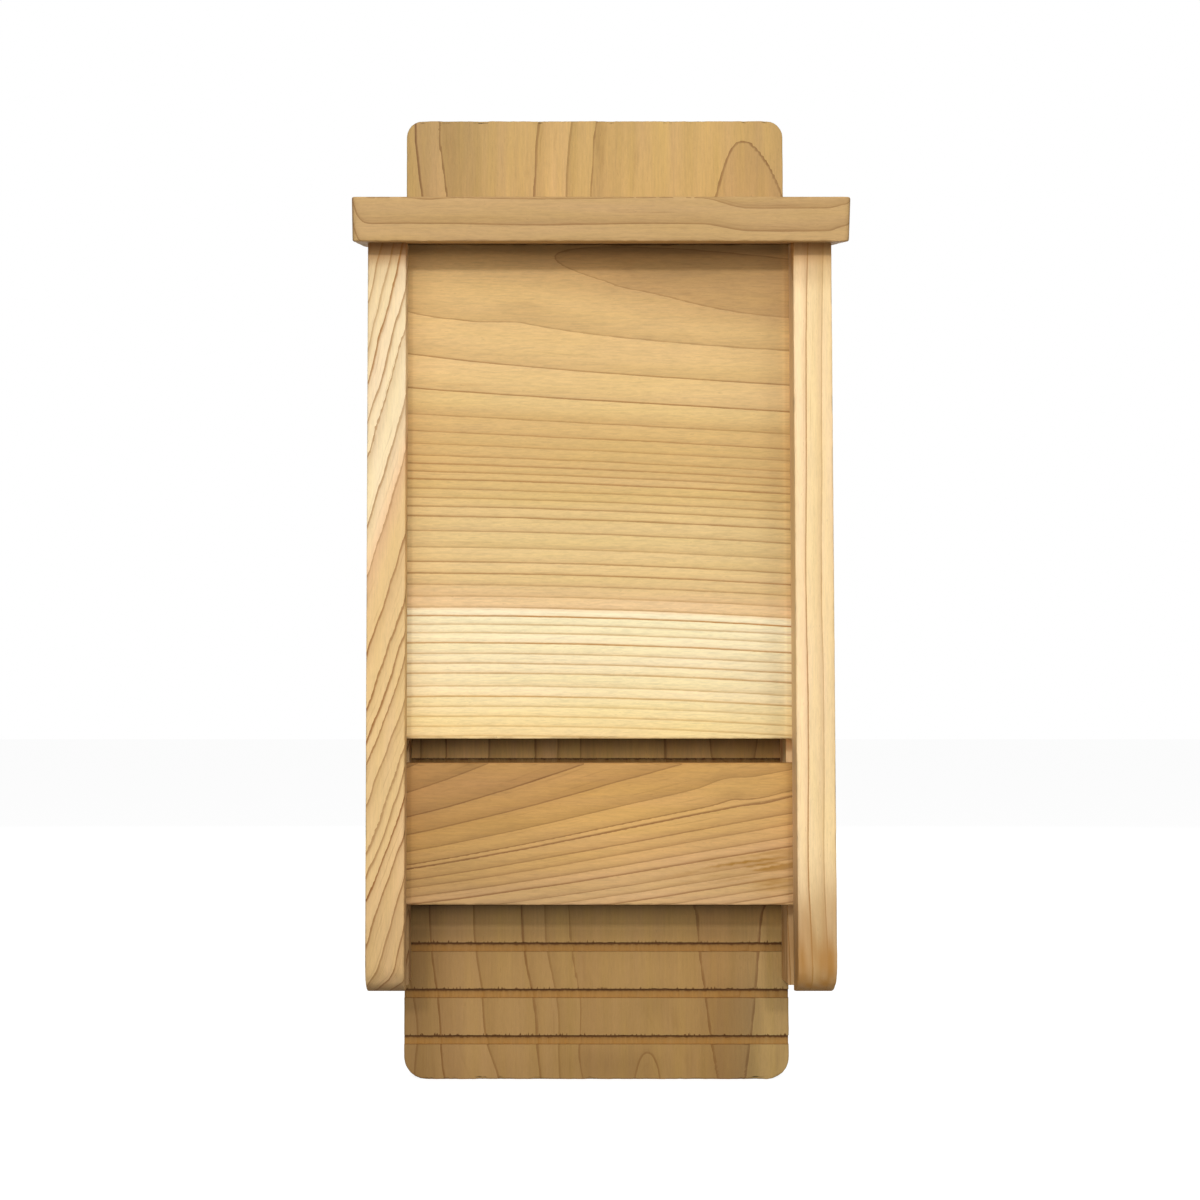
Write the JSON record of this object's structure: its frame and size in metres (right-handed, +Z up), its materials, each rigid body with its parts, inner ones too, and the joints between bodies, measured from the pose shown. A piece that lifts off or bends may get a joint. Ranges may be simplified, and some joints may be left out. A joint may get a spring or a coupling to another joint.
{
  "type": "bat box",
  "caption": "Wall-hung wooden bat box: a flat roost chamber between a grooved back board and front panels, with a vent slot, a sloping roof and an open foot.",
  "frame": {"origin": "middle of the back board's foot, in the plane of the wall that the box hangs on", "axes": "+Z up the wall, +Y out of the back face into the wall, so the front faces -Y; +X to the right of someone who looks at the front"},
  "size_m": [0.242, 0.0908, 0.5],
  "materials": {
    "back_wood": "bare planed cedar, upright grain",
    "left_side_wood": "bare planed cedar, upright grain",
    "right_side_wood": "bare planed cedar, upright grain",
    "upper_panel_wood": "bare planed cedar, level grain, pale sapwood at the foot",
    "lower_panel_wood": "bare planed cedar, level grain",
    "roof_wood": "bare planed cedar, level grain",
    "screw_steel": "zinc plated"
  },
  "bodies": {
    "root": {"back_board": "back_wood", "left_side": "left_side_wood", "right_side": "right_side_wood", "upper_front_panel": "upper_panel_wood", "lower_front_panel": "lower_panel_wood", "roof": "roof_wood", "roof_end_screws": "screw_steel", "left_back_screws": "screw_steel", "left_upper_screws": "screw_steel", "left_lower_screws": "screw_steel", "left_roof_screws": "screw_steel", "right_back_screws": "screw_steel", "right_upper_screws": "screw_steel", "right_lower_screws": "screw_steel", "right_roof_screws": "screw_steel"}
  },
  "joints": []
}
